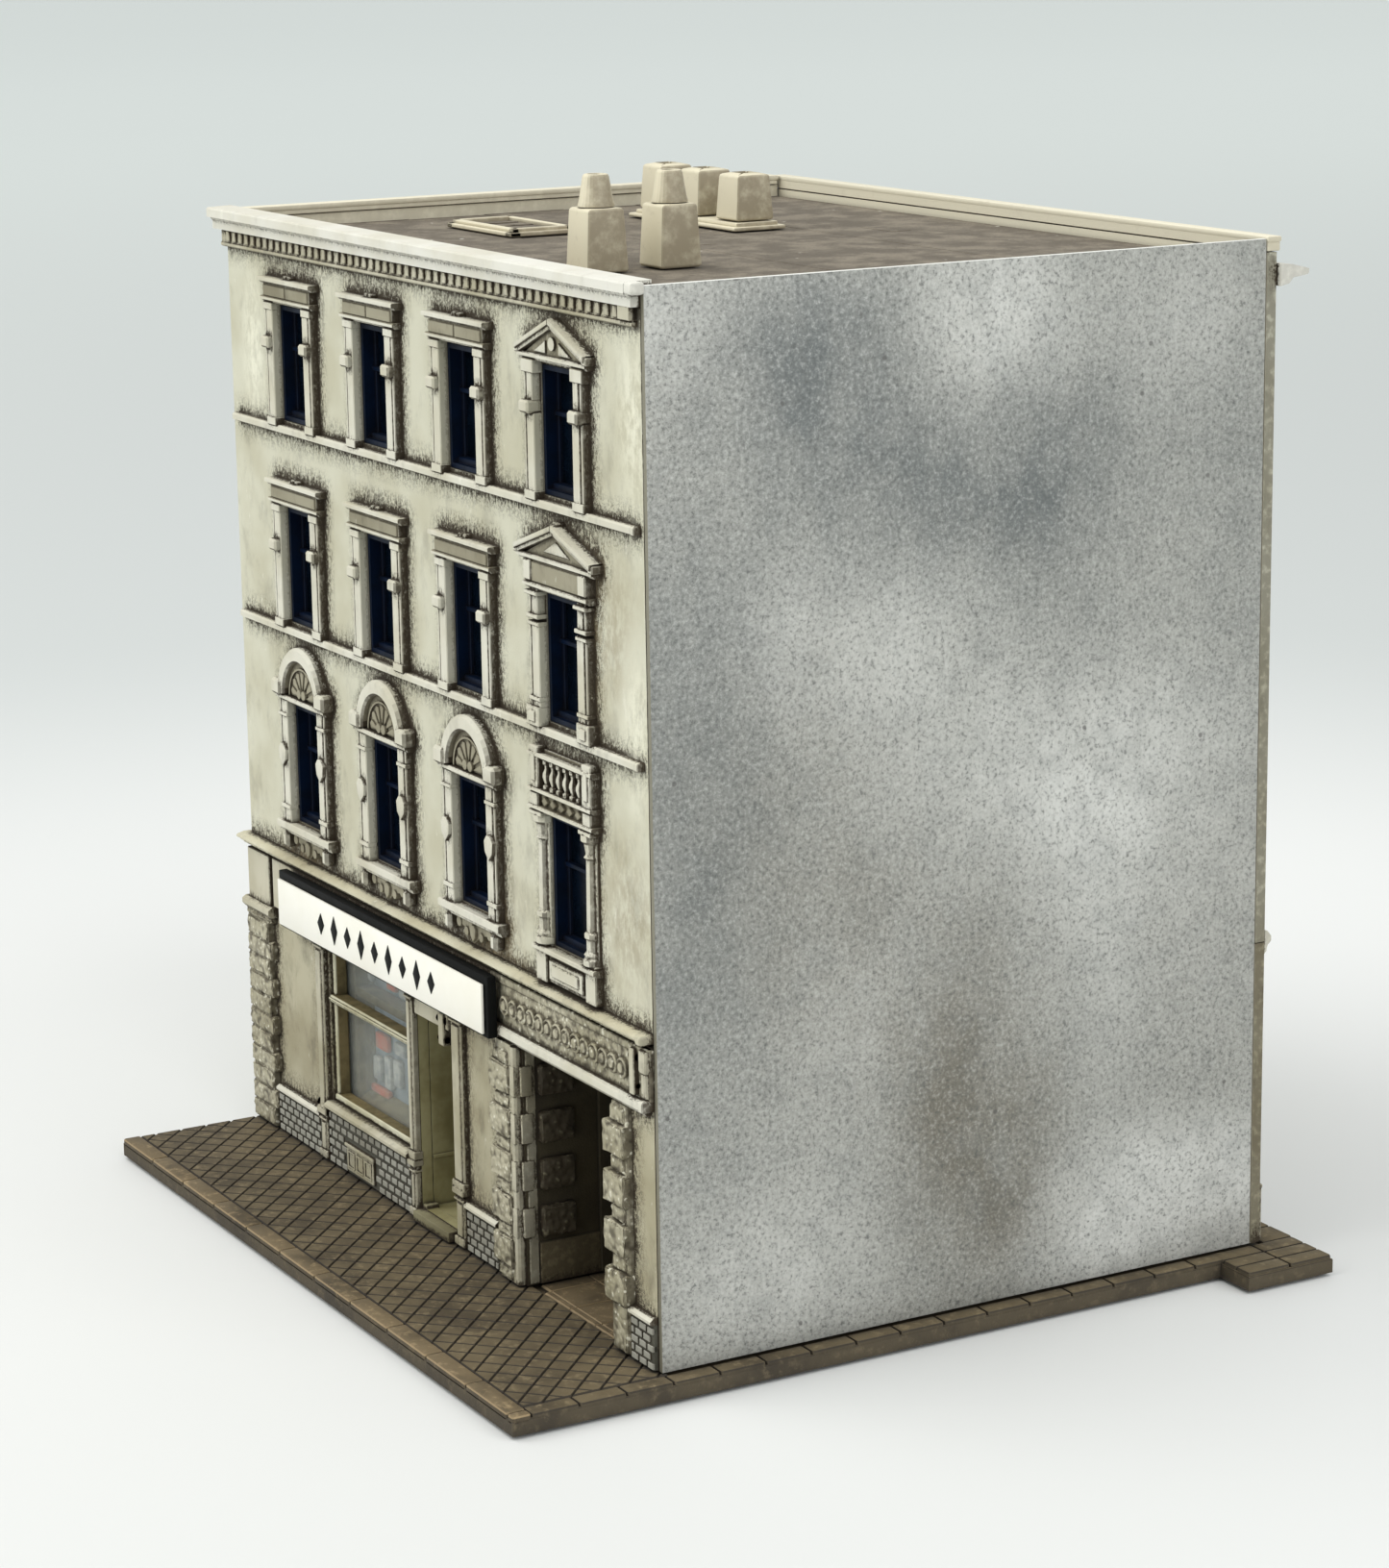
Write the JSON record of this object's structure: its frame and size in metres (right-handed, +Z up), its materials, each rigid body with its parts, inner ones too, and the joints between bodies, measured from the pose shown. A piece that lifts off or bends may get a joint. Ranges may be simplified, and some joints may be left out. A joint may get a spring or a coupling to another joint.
{
  "type": "miniature corner shop building",
  "caption": "Model railway tenement with a corner shop, gateway, moulded window surrounds, flat roof with chimneys and a pavement base.",
  "frame": {"origin": "centre of the whole model's footprint box, on the underside of the base plate", "axes": "+X to the right along the street front, +Y from the street to the rear, +Z up"},
  "size_m": [0.0998, 0.0888, 0.1091],
  "materials": {
    "ivory_plaster": "matt ivory with dark wash",
    "ground_plaster": "matt beige-brown, grimy",
    "cornice_white": "matt off-white, dry-brushed",
    "coping": "matt cream",
    "silver_card": "satin mottled silver-grey paint",
    "pavement": "matt brown with tan edges",
    "roof_felt": "matt grey-brown, gritty",
    "chimney_cream": "matt cream, dusty shaded sides",
    "window_navy": "satin navy",
    "clear_film": "smooth dark film",
    "frame_olive": "matt olive-cream",
    "shop_glass": "clear",
    "printed_card": "matt printed card",
    "door_olive": "matt olive-yellow",
    "door_wood": "matt dark brown",
    "passage_brown": "matt dark brown",
    "sign_black": "satin black",
    "sign_white": "smooth white"
  },
  "bodies": {
    "root": {"base_plate": "pavement", "door_lining": "door_olive", "doorstep": "pavement", "front_chimney_pot_a": "chimney_cream", "front_chimney_pot_b": "chimney_cream", "front_chimney_stack_a": "chimney_cream", "front_chimney_stack_b": "chimney_cream", "front_film_floor1": "clear_film", "front_film_floor2": "clear_film", "front_film_floor3": "clear_film", "front_wall_ground": "ground_plaster", "front_wall_upper": "ivory_plaster", "gateway_ceiling": "passage_brown", "gateway_left_wall": "passage_brown", "gateway_right_wall": "passage_brown", "ground_cornice": "cornice_white", "hatch_cover": "roof_felt", "hatch_frame": "chimney_cream", "left_coping": "coping", "left_party_wall": "ivory_plaster", "rear_chimney_plinth": "chimney_cream", "rear_chimney_stack_left": "chimney_cream", "rear_chimney_stack_middle": "chimney_cream", "rear_chimney_stack_right": "chimney_cream", "rear_cornice": "cornice_white", "rear_door": "door_wood", "rear_ledge": "cornice_white", "rear_parapet": "coping", "rear_wall_ground": "ground_plaster", "rear_wall_upper": "ivory_plaster", "rear_window_strip_floor1": "window_navy", "rear_window_strip_floor2": "window_navy", "rear_window_strip_floor3": "window_navy", "rear_window_strip_ground": "window_navy", "right_cover_sheet": "silver_card", "right_party_wall": "ivory_plaster", "roof_cornice": "cornice_white", "roof_plate": "roof_felt", "shop_display_card": "printed_card", "shop_door": "door_wood", "shop_window_frame": "frame_olive", "shop_window_glass": "shop_glass", "sign_backing": "sign_black", "sign_face": "sign_white", "window_insert_floor1_bay1": "window_navy", "window_insert_floor1_bay2": "window_navy", "window_insert_floor1_bay3": "window_navy", "window_insert_floor1_bay4": "window_navy", "window_insert_floor2_bay1": "window_navy", "window_insert_floor2_bay2": "window_navy", "window_insert_floor2_bay3": "window_navy", "window_insert_floor2_bay4": "window_navy", "window_insert_floor3_bay1": "window_navy", "window_insert_floor3_bay2": "window_navy", "window_insert_floor3_bay3": "window_navy", "window_insert_floor3_bay4": "window_navy"}
  },
  "joints": []
}
